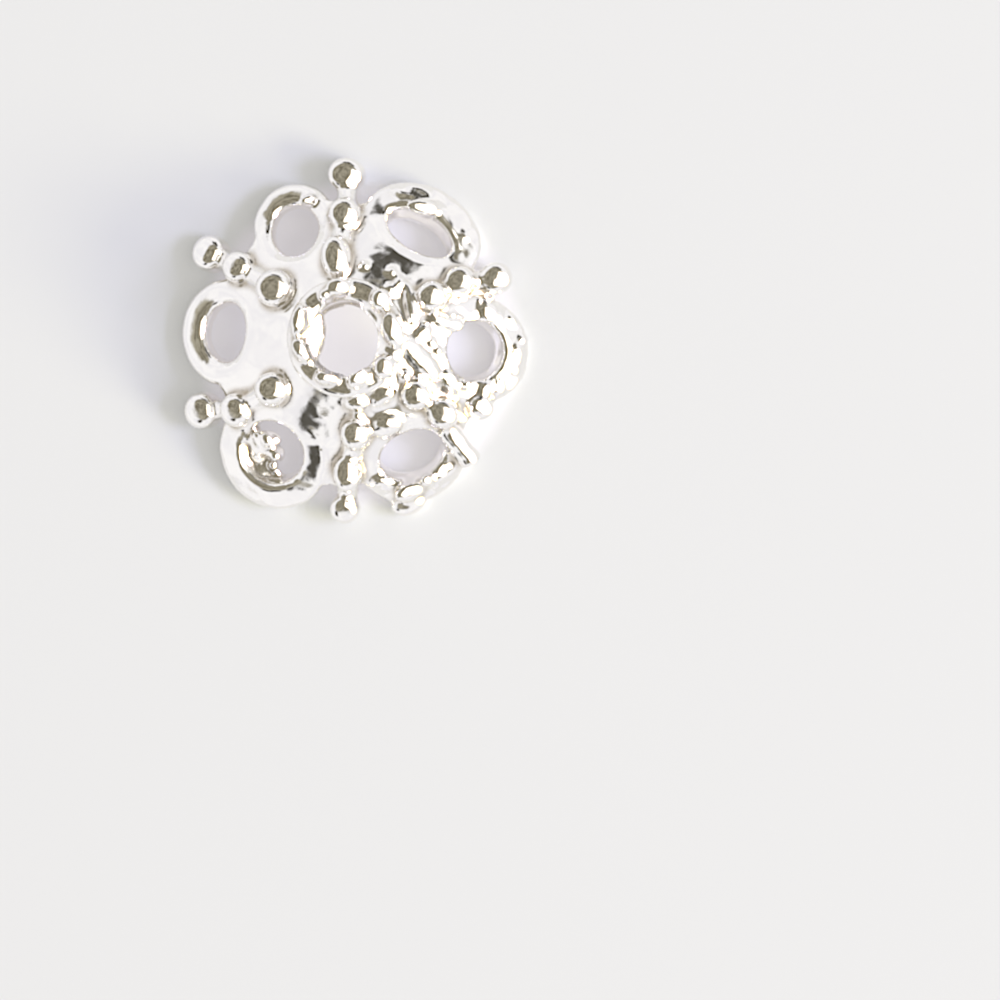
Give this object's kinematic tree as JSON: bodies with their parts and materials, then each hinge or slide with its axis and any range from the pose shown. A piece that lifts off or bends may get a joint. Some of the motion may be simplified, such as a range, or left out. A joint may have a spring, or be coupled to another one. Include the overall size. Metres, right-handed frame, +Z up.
{
  "type": "bead cap",
  "caption": "Shallow cast dome that caps the end of a round bead, with pierced petals, ribs of granules and a collared thread hole.",
  "frame": {"origin": "on the surface that the cap stands on, under the thread hole", "axes": "+Z up through the thread hole, +Y towards the rib of granules that stands out furthest, +X to the right as the cap is seen from above"},
  "size_m": [0.0095, 0.0102, 0.0031],
  "materials": {
    "silver_plate": "bright silver plate over a cast zinc alloy, lightly rough from the mould"
  },
  "bodies": {
    "root": {"bead_cap": "silver_plate"}
  },
  "joints": []
}
